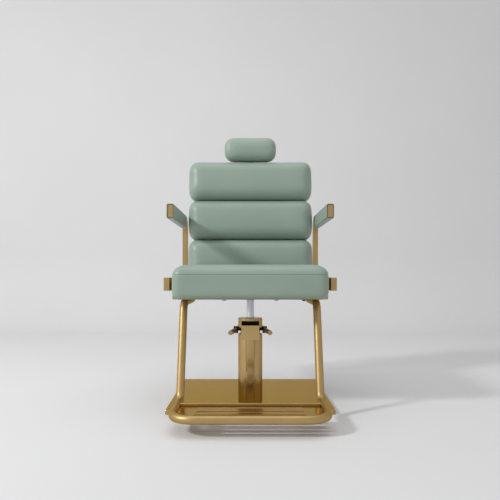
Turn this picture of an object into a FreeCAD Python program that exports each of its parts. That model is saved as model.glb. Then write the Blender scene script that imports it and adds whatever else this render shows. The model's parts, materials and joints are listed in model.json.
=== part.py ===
import FreeCAD, Part
import math
import os
from FreeCAD import Vector

# A salon chair on a square base: a hydraulic column, a swivelling seat with a footrest,
# two open side frames with padded arms, a reclining back of three rolls and a headrest.
# The origin is the middle of the face that the chair rests on, +Z is up and the chair
# faces -Y. Lengths are in millimetres and angles in degrees.

# Clearances that many pieces share
cut_over = 4.0
hole_gap = 0.25
run_gap = 0.05
side_gap = 0.3
round_end_share = 0.48

# Base plate and its floor pads
base_side = 600.0
base_thickness = 13.0
base_corner_radius = 9.0
base_edge_round = 1.5
pad_radius = 22.0
pad_thickness = 3.0
pad_stand = 1.0
pad_edge_inset = 48.0

# Column cover, its cap and its flat front cover
column_radius = 48.5
column_wall = 2.5
column_height = 303.5
cap_thickness = 6.0
cap_edge_round = 1.2
window_half_width = 35.0
window_height = 17.0
window_below_top = 10.5
front_cover_half_width = 37.0
front_cover_height = 57.5
front_cover_proud = 2.5
front_cover_depth = 20.0
front_cover_round = 2.0
notch_below_top = 37.0
notch_height = 28.0
notch_half_width = 36.5
head_half_width = 39.0

# Hydraulic unit inside the column
cylinder_radius = 26.0
cylinder_bore_radius = 20.0
flange_radius = 43.0
flange_thickness = 10.0
head_radius = 44.0
head_height = 96.5
head_window_depth = 24.0
bush_wall = 2.0
bush_length = 22.0
wiper_wall = 3.5
column_bolt_circle_radius = 34.0
column_bolt_radius = 5.0
column_bolt_head_radius = 8.0
column_bolt_head_height = 5.0
column_bolt_count = 4
column_bolt_grip = 7.0

# Lifting rod, piston and swivel
rod_radius = 15.5
rod_top_above_column = 102.5
piston_thickness = 16.0
piston_rest_height = 4.0
piston_seal_height = 4.0
piston_seal_depth = 3.0
thrust_thickness = 4.0
hub_flange_radius = 38.0
hub_flange_thickness = 8.0
hub_barrel_radius = 27.0
hub_top_wall = 8.0

# Pump lever
lever_shaft_radius = 5.0
lever_shaft_back = 26.0
lever_shaft_below_top = 46.5
lever_tube_radius = 8.75
lever_tube_wall = 1.5
lever_tube_side = 60.0
lever_tube_drop = 3.0
lever_tip_side = 75.0
lever_tip_forward = 144.0
lever_bend_forward = 8.0
lever_bend_back = 45.0
lever_waist_back = 125.0
lever_waist_side = 38.0
lever_waist_rise = 5.0
lever_end_back = 190.0
lever_end_rise = 14.0
lever_bend_radius = 60.0
lever_corner_radius = 17.0
lever_block_depth = 34.0
lever_block_height = 26.0
lever_block_outside = 68.0
lever_block_rise = 9.0
lever_block_round = 1.0
lever_block_play = 1.0
lever_boss_radius = 8.5
lever_boss_play = 0.5
pedal_radius = 12.5
pedal_end_gap = 1.0
pedal_end_round = 1.5
rocker_half_width = 8.0
rocker_hub_radius = 7.5
rocker_finger_length = 15.0
rocker_finger_height = 10.0
rocker_pocket_depth = 13.0
plunger_radius = 3.5
plunger_length = 30.0
plunger_reach = 11.0
plunger_gap = 0.3
spring_wire_radius = 0.45
spring_turns = 7
spring_length = 20.0
plug_depth = 8.0
plug_recess = 0.6

# Seat cushion, its foam and its board
rod_into_board = 16.0
seat_width = 548.0
seat_front = 348.0
seat_back = 145.0
seat_height = 124.0
seat_corner_radius = 30.0
seat_foot_round = 16.0
seat_dome_run = 45.0
seat_dome_rise = 31.0
seat_crown = 3.0
seat_crown_run = 110.0
seat_side_bulge = 1.0
cover_thickness = 3.0
board_thickness = 12.0
board_inset = 18.0
board_corner_radius = 24.0

# Plate between the swivel and the seat board
plate_thickness = 5.0
plate_half_width = 120.0
plate_front = 165.0
plate_back = 115.0
plate_corner_radius = 14.0
plate_bolt_inset_x = 22.0
plate_bolt_inset_y = 21.0
plate_bolt_radius = 5.0
plate_bolt_head_radius = 9.2
plate_bolt_head_height = 6.4
plate_bolt_grip = 8.0

# Side frames of flat tube, with their padded arms
frame_seat_gap = 16.5
frame_tube_width = 20.0
frame_tube_height = 47.0
frame_tube_wall = 2.0
frame_outer_radius = 46.0
frame_inner_radius = 6.0
arm_above_underside = 325.7
arm_front = 160.0
rail_above_underside = 52.1
rail_front = 253.0
post_behind_back = 72.0
pad_wall = 4.3
pad_edge_round = 3.0
end_plate_thickness = 3.0
end_plate_recess = 1.0

# Brackets that carry the side frames under the seat
bracket_thickness = 6.0
bracket_width = 44.0
bracket_front_inset = 198.0
bracket_back_inset = 66.0
bracket_above_rail = 7.9
bracket_board_lap = 34.0
bracket_bolt_radius = 4.0
bracket_bolt_head_radius = 6.8
bracket_bolt_head_height = 5.3
bracket_bolt_inset = 13.0
bracket_bolt_grip = 9.0

# Footrest tube, tread tray and their fixings
foot_tube_radius = 14.0
foot_tube_wall = 2.0
foot_tube_inset = 33.0
foot_tube_seat_gap = 0.2
foot_run_inset = 95.0
foot_top_bend_front = 228.7
foot_bottom_bend_front = 340.3
foot_bar_front = 579.0
foot_bar_height = 54.0
foot_top_bend_radius = 50.0
foot_bottom_bend_radius = 45.0
foot_corner_radius = 70.0
lug_width = 32.0
lug_reach = 36.0
lug_thickness = 5.0
lug_front_inset = 120.0
lug_back_inset = 25.0
tray_tube_reach = 13.5
tray_thickness = 1.6
tray_rise = 12.0
tray_back = 443.0
tray_front = 571.0
tray_lip_height = 6.5
tray_front_corner = 62.0
slot_end_inset = 58.5
slot_width = 13.0
slot_places = (469.0, 522.0)
slot_front_edge = 560.0
tray_bar_width = 22.0
tray_bar_thickness = 5.0
tray_bar_places = (452.0, 541.0)

# Reclining back, built upright about its own origin and then leaned
back_lean = 6.5
back_seat_gap = 4.0
back_above_underside = 60.5
roll_side_inset = 3.0
roll_pitch = 177.0
roll_squeeze = 0.4
roll_depth = 105.0
roll_count = 3
roll_corner_radius = 38.0
roll_foot_round = 10.0
roll_dome_run = 42.0
roll_dome_rise = 52.0
roll_crown = 3.0
roll_crown_run = 34.0
back_board_side_inset = 21.0
back_board_end_inset = 19.5
back_board_thickness = 14.0
back_cover_side_inset = 4.0
back_cover_end_inset = 5.5
back_cover_thickness = 25.0
back_cover_corner = 34.0
back_cover_round = 10.0

# Recline hinges, pins and lever
hinge_before_back = 54.0
hinge_above_underside = 28.0
hinge_plate_thickness = 6.0
hinge_arm_inset = 69.0
hinge_play = 0.5
hinge_eye_radius = 17.0
hinge_bracket_reach = 61.0
hinge_bracket_drop = 18.0
hinge_bracket_flange = 26.0
hinge_bolt_inset = 9.0
hinge_bolt_front = 12.0
hinge_bolt_pitch = 19.0
hinge_bolt_count = 2
hinge_strap_width = 34.0
hinge_strap_height = 205.0
hinge_strap_drop = 10.0
hinge_gusset_height = 60.0
hinge_gusset_depth = 26.0
pin_radius = 6.0
pin_head_radius = 10.0
pin_head_thickness = 4.0
strap_bolt_count = 3
strap_bolt_pitch = 66.0
strap_bolt_start = 42.0
strap_bolt_radius = 3.0
strap_bolt_head_radius = 6.0
strap_bolt_head_height = 3.4
strap_bolt_grip = 30.0
recline_lever_radius = 4.5
recline_hub_radius = 14.0
recline_hub_length = 20.0
recline_lever_drop = 46.0
recline_lever_forward = 80.0
recline_bend_radius = 20.0
recline_grip_radius = 7.5
recline_grip_round = 4.5
recline_grip_length = 54.0

# Headrest, its bar, guide and locking knob, in the frame of the upright back
headrest_width = 233.0
headrest_height = 110.0
headrest_depth = 88.0
headrest_above_rolls = 4.0
headrest_rear_set = 12.0
headrest_corner_radius = 40.0
headrest_foot_round = 30.0
headrest_dome_run = 34.0
headrest_dome_rise = 36.0
headrest_crown = 3.0
headrest_crown_run = 16.0
headrest_plate_width = 150.0
headrest_plate_height = 44.0
headrest_plate_thickness = 4.0
headrest_travel = 90.0
bar_half_width = 15.0
bar_thickness = 5.0
bar_behind_cover = 8.0
bar_bend_radius = 9.0
bar_spare_length = 31.0
guide_half_width = 27.0
guide_height = 50.0
guide_thickness = 21.0
guide_top_below_rolls = 40.0
guide_edge_round = 3.0
knob_screw_radius = 4.0
knob_radius = 17.0
knob_length = 15.0
knob_lobe_radius = 5.0
knob_lobe_count = 6
knob_gap = 0.6

# Heights and places worked out from the sizes above
base_top = pad_stand + base_thickness
column_top = base_top + column_height
sleeve_top = column_top - cap_thickness
head_bottom = sleeve_top - head_height
window_top = column_top - window_below_top
window_bottom = window_top - window_height
notch_top = column_top - notch_below_top
lever_shaft_height = column_top - lever_shaft_below_top
lever_tube_height = lever_shaft_height - lever_tube_drop
cylinder_floor = base_top + flange_thickness
piston_bottom = cylinder_floor + piston_rest_height
piston_top = piston_bottom + piston_thickness
rod_top = column_top + rod_top_above_column
seat_underside = rod_top - rod_into_board
arm_height = seat_underside + arm_above_underside
rail_height = seat_underside + rail_above_underside
board_top = seat_underside + board_thickness
plate_bottom = seat_underside - plate_thickness
hub_bottom = plate_bottom - hub_flange_thickness
hub_ceiling = rod_top + thrust_thickness + side_gap
hub_top = hub_ceiling + hub_top_wall
seat_mid = (seat_back - seat_front) / 2
seat_length = seat_back + seat_front
frame_side = seat_width / 2 + frame_seat_gap + frame_tube_width / 2
bracket_back_place = seat_back - bracket_back_inset
bracket_front_place = bracket_front_inset - seat_front
foot_tube_side = seat_width / 2 - foot_tube_inset
foot_run_back = seat_back - foot_run_inset
lug_places = (foot_run_back - lug_front_inset, foot_run_back - lug_back_inset)
tray_half_width = foot_tube_side - tray_tube_reach
slot_half_length = tray_half_width - slot_end_inset
back_origin_back = seat_back + roll_depth + back_seat_gap
back_origin_height = seat_underside + back_above_underside
post_back = back_origin_back + post_behind_back
roll_width = seat_width - 2 * roll_side_inset
rolls_height = roll_count * roll_pitch
back_board_width = roll_width - 2 * back_board_side_inset
back_board_height = rolls_height - 2 * back_board_end_inset
back_cover_width = roll_width - 2 * back_cover_side_inset
back_cover_height = rolls_height - 2 * back_cover_end_inset
hinge_back = back_origin_back - hinge_before_back
hinge_height = seat_underside + hinge_above_underside
hinge_arm_side = seat_width / 2 - hinge_arm_inset
hinge_bracket_front = seat_back - hinge_bracket_reach
foot_run_height = seat_underside - foot_tube_seat_gap - foot_tube_radius
tray_top = foot_bar_height + tray_rise
frame_inside = frame_side - frame_tube_width / 2
frame_outside = frame_side + frame_tube_width / 2
lap_end = seat_width / 2 - board_inset - bracket_board_lap
headrest_bottom = rolls_height + headrest_above_rolls
headrest_middle = headrest_bottom + headrest_height / 2
headrest_rear = -headrest_rear_set
hinge_bracket_side = hinge_arm_side + hinge_plate_thickness + hinge_play
guide_top = rolls_height - guide_top_below_rolls
guide_middle = guide_top - guide_height / 2
bar_front_face = back_cover_thickness + bar_behind_cover
bar_rear_face = bar_front_face + bar_thickness
guide_rear = back_cover_thickness + guide_thickness

X = Vector(1, 0, 0)
Y = Vector(0, 1, 0)
Z = Vector(0, 0, 1)
ORIGIN = Vector(0, 0, 0)


def save(name, solids):
    """Write one sub-part; several solids of one node are kept separate."""
    if isinstance(solids, list):
        solids = Part.makeCompound(solids)
    solids.exportStep(os.path.join("parts", name + ".step"))


def block(x0, x1, y0, y1, z0, z1):
    return Part.makeBox(x1 - x0, y1 - y0, z1 - z0, Vector(x0, y0, z0))


def bar(radius, start, end):
    along = end - start
    return Part.makeCylinder(radius, along.Length, start, along)


def ring(outer, inner, start, end):
    past = (end - start).normalize() * cut_over
    return bar(outer, start, end).cut(bar(inner, start - past, end + past))


def mirrored(shape):
    return shape.mirror(ORIGIN, X)


def both_sides(shapes):
    return shapes + [mirrored(shape) for shape in shapes]


def round_edges(shape, radius, wanted):
    edges = [edge for edge in shape.Edges if wanted(edge)]
    return shape.makeFillet(radius, edges)


def lies_along(edge, axis):
    """True for a straight edge that is parallel to the axis."""
    if not isinstance(edge.Curve, Part.Line):
        return False
    return edge.tangentAt(edge.FirstParameter).cross(axis).Length < 1e-6


def bent_path(points, radii):
    """Straight runs through the points, with a tangent arc at each point between."""
    edges = []
    start = points[0]
    for before, corner, after, radius in zip(points, points[1:], points[2:], radii):
        into = (corner - before).normalize()
        out = (after - corner).normalize()
        half_turn = into.getAngle(out) / 2
        reach = radius * math.tan(half_turn)
        arc_start = corner - into * reach
        arc_end = corner + out * reach
        inward = (out - into).normalize()
        middle = corner + inward * (radius / math.cos(half_turn) - radius)
        edges.append(Part.LineSegment(start, arc_start).toShape())
        edges.append(Part.Arc(arc_start, middle, arc_end).toShape())
        start = arc_end
    edges.append(Part.LineSegment(start, points[-1]).toShape())
    return Part.Wire(edges)


def pipe(path, radius):
    first = path.Edges[0]
    start = first.valueAt(first.FirstParameter)
    along = first.tangentAt(first.FirstParameter)
    outline = Part.Wire([Part.makeCircle(radius, start, along)])
    return path.makePipeShell([outline], True, False)


def tube(path, radius, wall):
    return pipe(path, radius).cut(pipe(path, radius - wall))


def outline_yz(x, points):
    """A closed outline of straight lines in a plane across X."""
    corners = [Vector(x, y, z) for y, z in points]
    return Part.Face(Part.makePolygon(corners + corners[:1]))


def rounded_rectangle(half_x, half_y, radius, height):
    """A closed outline about the Z axis, of four lines and four quarter arcs."""
    edges = []
    diagonal = radius * math.sqrt(0.5)
    long_and_short = ((half_x, half_y), (half_y, half_x))
    for quarter in range(4):
        near, far = long_and_short[quarter % 2]
        side_start = Vector(near, radius - far, height)
        side_end = Vector(near, far - radius, height)
        arc_middle = Vector(near - radius + diagonal, far - radius + diagonal, height)
        arc_end = Vector(near - radius, far, height)
        side = Part.LineSegment(side_start, side_end).toShape()
        corner = Part.Arc(side_end, arc_middle, arc_end).toShape()
        for edge in (side, corner):
            edge.rotate(ORIGIN, Z, 90 * quarter)
            edges.append(edge)
    return Part.Wire(edges)


def rounded_plate(half_x, half_y, radius, z0, z1):
    face = Part.Face(rounded_rectangle(half_x, half_y, radius, z0))
    return face.extrude(Z * (z1 - z0))


def cushion_levels(height, stand, foot, bulge, run, rise, crown, crown_run):
    """Heights and insets of a cushion's outlines, from its back to its crowned face."""
    foot_shares = (0, 0.25, 0.5, 0.75, 1)
    dome_shares = (0, 0.12, 0.25, 0.4, 0.55, 0.7, 0.85, 1)
    crown_shares = (0.5, 1)
    levels = []
    if stand:
        levels.append((0, foot))
    for share in foot_shares:
        turn = math.radians(90 * share)
        levels.append((stand + foot * (1 - math.cos(turn)), foot * (1 - math.sin(turn))))
    shoulder = height - crown - rise
    waist = (shoulder + stand + foot) / 2
    levels.append((waist, -bulge))
    for share in dome_shares:
        turn = math.radians(90 * share)
        levels.append((shoulder + rise * math.sin(turn), run * (1 - math.cos(turn))))
    for share in crown_shares:
        levels.append((height - crown * (1 - share) ** 2, run + crown_run * share))
    return levels


def cushion(width, length, corner_radius, levels):
    """A crowned cushion about the Z axis, standing on the XY plane."""
    corner_limit_share = 0.92
    outlines = []
    for height, inset in levels:
        half_x = width / 2 - inset
        half_y = length / 2 - inset
        radius = min(corner_radius, corner_limit_share * half_x, corner_limit_share * half_y)
        outlines.append(rounded_rectangle(half_x, half_y, radius, height))
    return Part.makeLoft(outlines, True, True)


def hex_head(radius, start, along, height):
    """A hexagonal bolt head with the radius across its corners."""
    corners = []
    side = along.cross(Z if abs(along.z) < abs(along.x) + abs(along.y) else X).normalize()
    up = along.cross(side).normalize()
    for step in range(6):
        turn = math.radians(60 * step)
        corners.append(start + side * (radius * math.cos(turn)) + up * (radius * math.sin(turn)))
    return Part.Face(Part.makePolygon(corners + corners[:1])).extrude(along.normalize() * height)


def hex_bolt(seat, into, shank_radius, shank_length, head_radius, head_height):
    """A bolt whose head sits at the seat point, with its shank along the into direction."""
    head = hex_head(head_radius, seat, into * -1, head_height)
    return head.fuse(bar(shank_radius, seat, seat + into * shank_length)).removeSplitter()


def leaned(shape):
    """Move a piece of the upright back to its leaning place on the chair."""
    placed = shape.copy()
    placed.rotate(ORIGIN, X, -back_lean)
    placed.translate(Vector(0, back_origin_back, back_origin_height))
    return placed


def upright_point(y, z):
    """The place, in the frame of the upright back, of a point of the chair."""
    point = Vector(0, y - back_origin_back, z - back_origin_height)
    turn = math.radians(back_lean)
    across = point.y * math.cos(turn) - point.z * math.sin(turn)
    up = point.y * math.sin(turn) + point.z * math.cos(turn)
    return across, up


def pad_places():
    reach = base_side / 2 - pad_edge_inset
    corners = [Vector(x, y, 0) for x in (-reach, reach) for y in (-reach, reach)]
    return corners + [ORIGIN]


def column_bolt_places():
    places = []
    for index in range(column_bolt_count):
        turn = math.radians(360 * (index + 0.5) / column_bolt_count)
        places.append(Vector(column_bolt_circle_radius * math.cos(turn),
                             column_bolt_circle_radius * math.sin(turn), 0))
    return places


def make_base():
    plate = rounded_plate(base_side / 2, base_side / 2, base_corner_radius, pad_stand, base_top)
    plate = round_edges(plate, base_edge_round, lambda edge: edge.BoundBox.ZMin > base_top - run_gap)
    pads = []
    for place in pad_places():
        pocket_top = Vector(place.x, place.y, pad_thickness)
        pads.append(bar(pad_radius, place, pocket_top))
        plate = plate.cut(bar(pad_radius + hole_gap, place, pocket_top))
    bolts = []
    for place in column_bolt_places():
        head_start = place + Z * pad_stand
        head_top = head_start + Z * column_bolt_head_height
        shank_top = Vector(place.x, place.y, base_top + column_bolt_grip)
        plate = plate.cut(bar(column_bolt_head_radius + hole_gap, place, head_top))
        plate = plate.cut(bar(column_bolt_radius + hole_gap, place, shank_top))
        head = bar(column_bolt_head_radius, head_start, head_top)
        bolts.append(head.fuse(bar(column_bolt_radius, head_top, shank_top)).removeSplitter())
    save("base_plate", plate)
    save("floor_pads", pads)
    save("column_bolts", bolts)


def make_column():
    sleeve = ring(column_radius, column_radius - column_wall, Z * base_top, Z * sleeve_top)
    window = block(-window_half_width, window_half_width, -column_radius - cut_over, -column_radius / 2,
                   window_bottom, window_top)
    sleeve = sleeve.cut(window)
    notch = block(notch_half_width, column_radius + cut_over, -column_radius, column_radius,
                  notch_top - notch_height, notch_top)
    boss_end = Vector(column_radius, lever_shaft_back, lever_shaft_height)
    boss_start = Vector(-boss_end.x, boss_end.y, boss_end.z)
    boss_room = bar(lever_boss_radius + lever_boss_play, boss_start, boss_end)
    sleeve = sleeve.cut([notch, mirrored(notch), boss_room])
    save("column_sleeve", sleeve)

    cap = bar(column_radius, Z * sleeve_top, Z * column_top)
    cap = round_edges(cap, cap_edge_round, lambda edge: edge.BoundBox.ZMin > column_top - run_gap)
    cap = cap.cut(bar(rod_radius + wiper_wall, Z * (sleeve_top - cut_over), Z * (column_top + cut_over)))
    save("column_cap", cap)
    wiper = ring(rod_radius + wiper_wall, rod_radius + run_gap, Z * sleeve_top, Z * column_top)
    save("rod_wiper", wiper)

    front = -column_radius - front_cover_proud
    cover = block(-front_cover_half_width, front_cover_half_width, front, front + front_cover_depth,
                  window_bottom - front_cover_height, window_bottom)
    cover = round_edges(cover, front_cover_round,
                        lambda edge: lies_along(edge, Z) and edge.CenterOfMass.y < front + run_gap)
    cover = cover.cut(bar(column_radius, Z * base_top, Z * column_top))
    save("pump_front_cover", cover)


def make_hydraulics():
    flange = bar(flange_radius, Z * base_top, Z * cylinder_floor)
    cylinder = flange.fuse(bar(cylinder_radius, Z * cylinder_floor, Z * head_bottom))
    cylinder = cylinder.cut(bar(cylinder_bore_radius, Z * cylinder_floor, Z * (head_bottom + cut_over)))
    for place in column_bolt_places():
        hole_top = Vector(place.x, place.y, base_top + column_bolt_grip)
        hole_bottom = Vector(place.x, place.y, 0)
        cylinder = cylinder.cut(bar(column_bolt_radius + hole_gap, hole_bottom, hole_top))
    save("pump_cylinder", cylinder.removeSplitter())

    bush_bottom = sleeve_top - bush_length
    head = bar(head_radius, Z * head_bottom, Z * sleeve_top)
    flats = block(-head_half_width, head_half_width, -head_radius, head_radius, head_bottom, sleeve_top)
    head = head.common(flats)
    head = head.cut(bar(rod_radius + bush_wall / 2, Z * (head_bottom - cut_over), Z * bush_bottom))
    head = head.cut(bar(rod_radius + bush_wall, Z * bush_bottom, Z * (sleeve_top + cut_over)))
    recess = block(-head_radius, head_radius, -head_radius - cut_over, head_window_depth - head_radius,
                   window_bottom, sleeve_top + cut_over)
    head = head.cut(recess)
    shaft_end = Vector(head_radius + cut_over, lever_shaft_back, lever_shaft_height)
    shaft_start = Vector(-shaft_end.x, shaft_end.y, shaft_end.z)
    head = head.cut(bar(lever_shaft_radius + run_gap, shaft_start, shaft_end))
    pocket_floor = lever_shaft_height - rocker_pocket_depth
    pocket = block(-rocker_half_width - side_gap, rocker_half_width + side_gap,
                   lever_shaft_back - rocker_hub_radius - side_gap, head_radius + cut_over,
                   pocket_floor, sleeve_top + cut_over)
    head = head.cut(pocket)
    bore_place = Vector(0, lever_shaft_back + plunger_reach, 0)
    bore_bottom = plunger_top() - plunger_length - spring_length
    head = head.cut(bar(plunger_radius + run_gap, bore_place + Z * bore_bottom,
                        bore_place + Z * (pocket_floor + cut_over)))
    save("pump_head", head)
    bush = ring(rod_radius + bush_wall, rod_radius + run_gap, Z * bush_bottom, Z * sleeve_top)
    save("rod_guide_bush", bush)

    spring_top = plunger_top() - plunger_length - side_gap
    spring_height = spring_top - bore_bottom - 2 * spring_wire_radius
    coil_radius = plunger_radius - 2 * spring_wire_radius
    helix = Part.makeHelix(spring_height / spring_turns, spring_height, coil_radius)
    wire_end = helix.Edges[0].valueAt(helix.Edges[0].FirstParameter)
    wire_along = helix.Edges[0].tangentAt(helix.Edges[0].FirstParameter)
    section = Part.Wire([Part.makeCircle(spring_wire_radius, wire_end, wire_along)])
    coil = Part.Wire(helix.Edges).makePipeShell([section], True, True)
    coil.translate(bore_place + Z * (bore_bottom + spring_wire_radius + run_gap))
    save("plunger_spring", coil)


def plunger_top():
    return lever_shaft_height - rocker_finger_height / 2 - plunger_gap


def make_lift():
    rod = bar(rod_radius, Z * piston_top, Z * rod_top)
    save("lift_rod", rod)
    piston_radius = cylinder_bore_radius - run_gap
    groove_bottom = Z * ((piston_bottom + piston_top - piston_seal_height) / 2)
    groove_top = groove_bottom + Z * piston_seal_height
    seal = ring(piston_radius, piston_radius - piston_seal_depth, groove_bottom, groove_top)
    piston = bar(piston_radius, Z * piston_bottom, Z * piston_top).cut(seal)
    save("rod_piston", piston)
    save("piston_seal", seal)
    save("thrust_bearing", bar(rod_radius, Z * rod_top, Z * (rod_top + thrust_thickness)))


def lever_points():
    side = [
        Vector(lever_tip_side, -lever_tip_forward, lever_shaft_height),
        Vector(lever_tube_side, -lever_bend_forward, lever_tube_height),
        Vector(lever_tube_side, lever_bend_back, lever_tube_height),
        Vector(lever_waist_side, lever_waist_back, lever_tube_height + lever_waist_rise),
        Vector(lever_waist_side, lever_end_back, lever_tube_height + lever_end_rise),
    ]
    other = [Vector(-point.x, point.y, point.z) for point in reversed(side)]
    return side + other


def make_pump_lever():
    points = lever_points()
    gentle = [lever_bend_radius] * 3
    corner = [lever_corner_radius]
    path = bent_path(points, gentle + corner + corner + gentle)
    handle = tube(path, lever_tube_radius, lever_tube_wall)
    save("lever_tube", handle)

    outward = (points[0] - points[1]).normalize()
    plug_outer = points[0] - outward * plug_recess
    plug = bar(lever_tube_radius - lever_tube_wall, plug_outer - outward * plug_depth, plug_outer)
    save("lever_end_plugs", both_sides([plug]))

    half_length = lever_waist_side - lever_corner_radius - pedal_end_gap
    pedal_end = Vector(half_length, points[4].y, points[4].z)
    pedal_start = Vector(-half_length, points[4].y, points[4].z)
    pedal = bar(pedal_radius, pedal_start, pedal_end)
    pedal = round_edges(pedal, pedal_end_round, lambda edge: True)
    save("lever_pedal_rubber", pedal.cut(bar(lever_tube_radius, pedal_start, pedal_end)))

    shaft_end = Vector(lever_block_outside - lever_tube_radius, lever_shaft_back, lever_shaft_height)
    shaft = bar(lever_shaft_radius, Vector(-shaft_end.x, shaft_end.y, shaft_end.z), shaft_end)
    solid_tube = pipe(path, lever_tube_radius)
    save("lever_shaft", shaft.cut(solid_tube))

    block_inside = column_radius + lever_block_play
    block_front = lever_shaft_back - lever_block_depth / 2
    block_top = lever_shaft_height + lever_block_rise
    cheek = block(block_inside, lever_block_outside, block_front, block_front + lever_block_depth,
                  block_top - lever_block_height, block_top)
    cheek = round_edges(cheek, lever_block_round, lambda edge: lies_along(edge, Y))
    boss_start = Vector(head_half_width + lever_boss_play, lever_shaft_back, lever_shaft_height)
    boss_end = Vector(block_inside, lever_shaft_back, lever_shaft_height)
    cheek = cheek.fuse(bar(lever_boss_radius, boss_start, boss_end)).removeSplitter()
    cheek = cheek.cut(solid_tube).cut(bar(lever_shaft_radius, boss_start - X * cut_over, shaft_end))
    save("lever_blocks", both_sides([cheek]))

    half_finger = rocker_finger_height / 2
    finger = block(-rocker_half_width, rocker_half_width,
                   lever_shaft_back, lever_shaft_back + rocker_finger_length,
                   lever_shaft_height - half_finger, lever_shaft_height + half_finger)
    hub_start = Vector(-rocker_half_width, lever_shaft_back, lever_shaft_height)
    hub_end = Vector(rocker_half_width, lever_shaft_back, lever_shaft_height)
    rocker = finger.fuse(bar(rocker_hub_radius, hub_start, hub_end))
    rocker = rocker.cut(bar(lever_shaft_radius, hub_start - X * cut_over, hub_end + X * cut_over))
    save("pump_rocker", rocker.removeSplitter())

    plunger_end = Vector(0, lever_shaft_back + plunger_reach, plunger_top())
    save("pump_plunger", bar(plunger_radius, plunger_end - Z * plunger_length, plunger_end))


def seat_levels(wall):
    """The seat cushion's outlines, or with a wall those of the foam in its cover."""
    if not wall:
        return cushion_levels(seat_height, 0, seat_foot_round, seat_side_bulge, seat_dome_run, seat_dome_rise,
                              seat_crown, seat_crown_run)
    height = seat_height - board_thickness - wall
    return cushion_levels(height, 0, wall, seat_side_bulge, seat_dome_run - wall, seat_dome_rise - wall,
                          seat_crown, seat_crown_run)


def make_seat():
    outer = cushion(seat_width, seat_length, seat_corner_radius, seat_levels(0))
    outer.translate(Vector(0, seat_mid, seat_underside))
    wall = cover_thickness
    foam = cushion(seat_width - 2 * wall, seat_length - 2 * wall, seat_corner_radius - wall,
                   seat_levels(wall))
    foam.translate(Vector(0, seat_mid, board_top))
    board_half_width = seat_width / 2 - board_inset
    board_half_length = seat_length / 2 - board_inset
    board = rounded_plate(board_half_width, board_half_length, board_corner_radius, seat_underside, board_top)
    board.translate(Vector(0, seat_mid, 0))
    save("seat_cushion", outer.cut(foam).cut(board))
    hub_room = bar(hub_barrel_radius + hole_gap, Z * (plate_bottom - cut_over), Z * (hub_top + hole_gap))
    save("seat_foam", foam.cut(hub_room))

    board = board.cut(hub_room)
    plate = rounded_plate(plate_half_width, (plate_front + plate_back) / 2, plate_corner_radius, plate_bottom,
                          seat_underside)
    plate.translate(Y * ((plate_back - plate_front) / 2))
    plate = plate.cut(hub_room)
    plate_bolts = []
    bolt_side = plate_half_width - plate_bolt_inset_x
    for x in (-bolt_side, bolt_side):
        for y in (plate_bolt_inset_y - plate_front, plate_back - plate_bolt_inset_y):
            seat_point = Vector(x, y, plate_bottom)
            shank = plate_thickness + plate_bolt_grip
            room = bar(plate_bolt_radius + hole_gap, seat_point - Z * cut_over, seat_point + Z * shank)
            plate = plate.cut(room)
            board = board.cut(room)
            plate_bolts.append(hex_bolt(seat_point, Z, plate_bolt_radius, shank, plate_bolt_head_radius,
                                        plate_bolt_head_height))
    save("mounting_plate", plate)
    save("mounting_bolts", plate_bolts)
    for place, thickness in under_board_bolts():
        room = bolt_room(place, thickness)
        board = board.cut(room).cut(mirrored(room))
    save("seat_board", board)

    hub = bar(hub_flange_radius, Z * hub_bottom, Z * plate_bottom)
    hub = hub.fuse(bar(hub_barrel_radius, Z * plate_bottom, Z * hub_top))
    hub = hub.cut(bar(rod_radius + run_gap, Z * (hub_bottom - cut_over), Z * hub_ceiling))
    save("swivel_hub", hub.removeSplitter())


def under_board_bolts():
    """Points on the right half of the board's underside, each with the thickness bolted there."""
    hinge_edge = hinge_bracket_side + hinge_plate_thickness - hinge_bracket_flange
    bolts = []
    for shift in (-bracket_width / 4, bracket_width / 4):
        place = Vector(lap_end + bracket_bolt_inset, bracket_back_place + shift, seat_underside)
        bolts.append((place, bracket_thickness))
    for along in lug_places:
        place = Vector(foot_tube_side - lug_reach + bracket_bolt_head_radius, along, seat_underside)
        bolts.append((place, lug_thickness))
    for step in range(hinge_bolt_count):
        along = hinge_bracket_front + hinge_bolt_front + hinge_bolt_pitch * step
        bolts.append((Vector(hinge_edge + hinge_bolt_inset, along, seat_underside), hinge_plate_thickness))
    return bolts


def bolt_room(place, thickness):
    start = place - Z * (thickness + cut_over)
    return bar(bracket_bolt_radius + hole_gap, start, place + Z * bracket_bolt_grip)


def frame_profile(grow):
    """Side view of the side frame's flat tube, grown or shrunk about its middle line."""
    half = frame_tube_height / 2 + grow
    corners = [
        (-arm_front, arm_height + half), (post_back + half, arm_height + half),
        (post_back + half, rail_height - half), (-rail_front, rail_height - half),
        (-rail_front, rail_height + half), (post_back - half, rail_height + half),
        (post_back - half, arm_height - half), (-arm_front, arm_height - half),
    ]
    half_width = frame_tube_width / 2 + grow
    shape = outline_yz(frame_side - half_width, corners).extrude(X * (2 * half_width))
    shape = round_edges(shape, frame_outer_radius + grow,
                        lambda edge: lies_along(edge, X) and edge.CenterOfMass.y > post_back)
    return round_edges(shape, frame_inner_radius - grow,
                       lambda edge: lies_along(edge, X) and edge.CenterOfMass.y > post_back - half - run_gap)


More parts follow.
